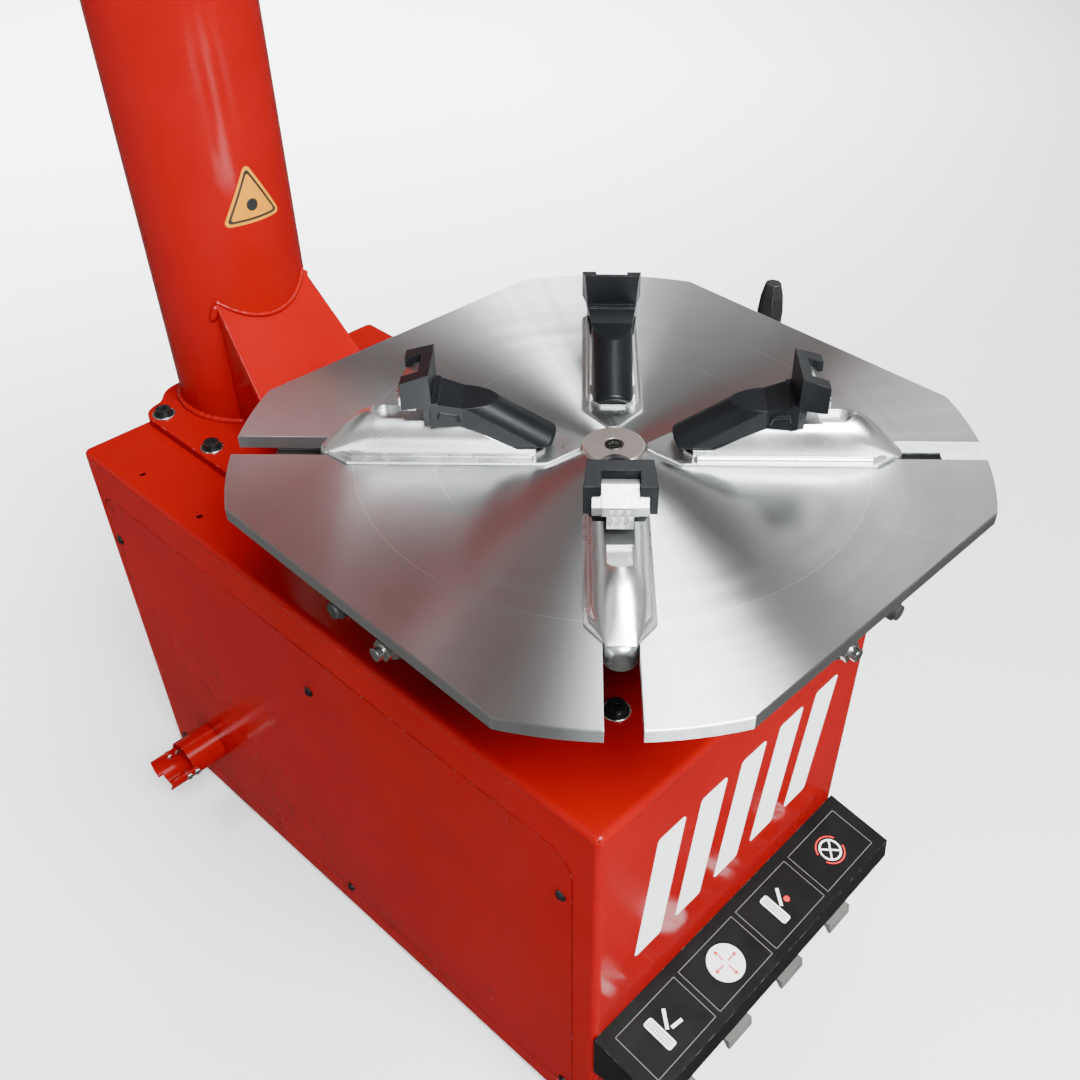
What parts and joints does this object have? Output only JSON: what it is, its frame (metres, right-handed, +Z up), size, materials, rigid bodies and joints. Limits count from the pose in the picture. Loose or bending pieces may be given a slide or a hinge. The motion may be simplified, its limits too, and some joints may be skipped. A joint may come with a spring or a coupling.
{
  "type": "tyre changer",
  "caption": "Floor-standing tyre changer with a square clamping turntable, sliding jaws, a round column with a swing arm, pedals and a side bead breaker.",
  "frame": {"origin": "on the floor, at the centre of the four floor anchor holes under the cabinet", "axes": "+Z up; the pedals face -Y; the bead breaker is at +X"},
  "size_m": [1.0668, 1.1043, 2.094],
  "materials": {
    "red_paint": "gloss",
    "red_panel": "gloss",
    "black_paint": "satin",
    "black_screw": "satin",
    "rubber": "matte",
    "cast_iron": "rough",
    "motor_paint": "satin",
    "pulley_iron": "turned",
    "belt_rubber": "matte",
    "machined_steel": "turned",
    "aluminium": "satin",
    "chrome_shaft": "polished",
    "head_steel": "satin",
    "black_plastic": "matte",
    "table_steel": "ground",
    "cap_steel": "turned",
    "guide_steel": "rough",
    "bracket_steel": "rough",
    "zinc": "zinc plated",
    "black_cover": "satin",
    "pedal_steel": "satin",
    "grip_plastic": "satin",
    "slide_steel": "polished",
    "jaw_black": "satin",
    "insert_steel": "satin"
  },
  "bodies": {
    "cabinet": {"cabinet_shell": "red_paint", "left_side_panel": "red_panel", "side_screws": "black_screw", "base_frame": "black_paint", "foot_pads": "rubber", "gearbox_housing": "cast_iron", "top_bolts": "black_screw", "electric_motor": "motor_paint", "drive_belt": "belt_rubber", "air_distributor": "aluminium", "column_base": "red_paint", "column_tube": "red_paint", "pedal_panel": "black_cover", "pedal_shaft": "machined_steel", "bead_bracket": "red_paint", "bead_pivot_pin": "zinc", "bead_cylinder": "black_paint", "side_pad": "rubber", "lever_holder": "red_paint", "rear_inlets": "black_plastic"},
    "turntable": {"turntable_plate": "table_steel", "centre_cap": "cap_steel", "spindle": "machined_steel", "slide_guides": "guide_steel", "edge_brackets": "bracket_steel", "bracket_studs": "zinc", "air_elbows": "black_plastic"},
    "slide_front_left": {"slide_front_left": "slide_steel", "jaw_front_left": "jaw_black", "jaw_insert_front_left": "insert_steel", "clamp_cylinder_front": "aluminium"},
    "slide_front_right": {"slide_front_right": "slide_steel", "jaw_front_right": "jaw_black", "jaw_insert_front_right": "insert_steel", "clamp_rod_front": "chrome_shaft"},
    "slide_rear_right": {"slide_rear_right": "slide_steel", "jaw_rear_right": "jaw_black", "jaw_insert_rear_right": "insert_steel", "clamp_cylinder_rear": "aluminium"},
    "slide_rear_left": {"slide_rear_left": "slide_steel", "jaw_rear_left": "jaw_black", "jaw_insert_rear_left": "insert_steel", "clamp_rod_rear": "chrome_shaft"},
    "cam": {"cam_disc": "machined_steel"},
    "worm": {"worm_shaft": "machined_steel", "input_pulley": "pulley_iron"},
    "motor_rotor": {"motor_pulley": "pulley_iron"},
    "pedal_turn": {"pedal_turn": "pedal_steel"},
    "pedal_open": {"pedal_open": "pedal_steel"},
    "pedal_press": {"pedal_press": "pedal_steel"},
    "pedal_tilt": {"pedal_tilt": "pedal_steel"},
    "arm": {"swing_arm": "red_paint"},
    "tool_shaft": {"hex_shaft": "chrome_shaft", "mount_head": "head_steel"},
    "lock": {"lock_lever": "black_paint"},
    "roller": {"head_roller": "black_plastic"},
    "breaker_arm": {"bead_arm": "red_paint", "bead_grip": "grip_plastic"},
    "breaker_blade": {"bead_blade": "black_paint"},
    "breaker_rod": {"bead_rod": "chrome_shaft"}
  },
  "joints": [
    {"name": "table_spin", "type": "hinge", "parent": "cabinet", "child": "turntable", "pos_m": [0, -0.238, 0.7], "axis": [0, 0, 1], "continuous": true},
    {"name": "jaw_travel", "type": "slide", "parent": "turntable", "child": "slide_front_left", "axis": [-0.729, -0.6845, 0], "range_m": [0, 0.075]},
    {"name": "jaw_travel_front_right", "type": "slide", "parent": "turntable", "child": "slide_front_right", "axis": [0.6845, -0.729, 0], "range_m": [0, 0.075]},
    {"name": "jaw_travel_rear_right", "type": "slide", "parent": "turntable", "child": "slide_rear_right", "axis": [0.729, 0.6845, 0], "range_m": [0, 0.075]},
    {"name": "jaw_travel_rear_left", "type": "slide", "parent": "turntable", "child": "slide_rear_left", "axis": [-0.6845, 0.729, 0], "range_m": [0, 0.075]},
    {"name": "cam_turn", "type": "hinge", "parent": "turntable", "child": "cam", "pos_m": [0, -0.238, 0.727], "axis": [0, 0, 1], "range_deg": [0, 50.1]},
    {"name": "worm_spin", "type": "hinge", "parent": "cabinet", "child": "worm", "pos_m": [0.1, -0.1415, 0.492], "axis": [1, 0, 0], "continuous": true},
    {"name": "motor_spin", "type": "hinge", "parent": "cabinet", "child": "motor_rotor", "pos_m": [0.138, 0.012, 0.328], "axis": [1, 0, 0], "continuous": true},
    {"name": "pedal_turn_press", "type": "hinge", "parent": "cabinet", "child": "pedal_turn", "pos_m": [-0.1575, -0.345, 0.096], "axis": [1, 0, 0], "range_deg": [-6, 12], "stiffness_Nm_per_rad": 40, "springref_deg": -0.57},
    {"name": "pedal_open_press", "type": "hinge", "parent": "cabinet", "child": "pedal_open", "pos_m": [-0.0525, -0.345, 0.096], "axis": [1, 0, 0], "range_deg": [0, 12], "stiffness_Nm_per_rad": 20, "springref_deg": -6.88},
    {"name": "pedal_press_press", "type": "hinge", "parent": "cabinet", "child": "pedal_press", "pos_m": [0.0525, -0.345, 0.096], "axis": [1, 0, 0], "range_deg": [0, 12], "stiffness_Nm_per_rad": 20, "springref_deg": -6.88},
    {"name": "pedal_tilt_press", "type": "hinge", "parent": "cabinet", "child": "pedal_tilt", "pos_m": [0.1575, -0.345, 0.096], "axis": [1, 0, 0], "range_deg": [0, 12], "stiffness_Nm_per_rad": 20, "springref_deg": -6.88},
    {"name": "arm_swing", "type": "hinge", "parent": "cabinet", "child": "arm", "pos_m": [0, 0.391, 1.63], "axis": [0, 0, -1], "range_deg": [0, 100]},
    {"name": "shaft_lift", "type": "slide", "parent": "arm", "child": "tool_shaft", "axis": [0, 0, -1], "range_m": [0, 0.28]},
    {"name": "lock_turn", "type": "hinge", "parent": "arm", "child": "lock", "pos_m": [0.61944, 0.50022, 1.66], "axis": [0.9848, 0.1736, 0], "range_deg": [-45, 45]},
    {"name": "roller_spin", "type": "hinge", "parent": "tool_shaft", "child": "roller", "pos_m": [0.58816, 0.50486, 1.145], "axis": [0, 0, 1], "continuous": true},
    {"name": "breaker_swing", "type": "hinge", "parent": "cabinet", "child": "breaker_arm", "pos_m": [0.268, 0.33, 0.4], "axis": [0, 0, -1], "range_deg": [-6, 10]},
    {"name": "blade_swivel", "type": "hinge", "parent": "breaker_arm", "child": "breaker_blade", "pos_m": [0.42237, -0.17493, 0.4], "axis": [0, 0, 1], "range_deg": [-8, 8]},
    {"name": "breaker_pull", "type": "slide", "parent": "cabinet", "child": "breaker_rod", "axis": [-1, 0, 0], "range_m": [-0.0192, 0.0317]}
  ],
  "couplings": [
    {"joint": "jaw_travel_front_right", "follows": "jaw_travel", "ratio": 1},
    {"joint": "jaw_travel_rear_right", "follows": "jaw_travel", "ratio": 1},
    {"joint": "jaw_travel_rear_left", "follows": "jaw_travel", "ratio": 1},
    {"joint": "cam_turn", "follows": "jaw_travel", "rad_per_m": 11.636},
    {"joint": "worm_spin", "follows": "table_spin", "ratio": 36},
    {"joint": "motor_spin", "follows": "table_spin", "ratio": 72},
    {"joint": "breaker_pull", "follows": "breaker_swing", "m_per_rad": 0.177}
  ]
}
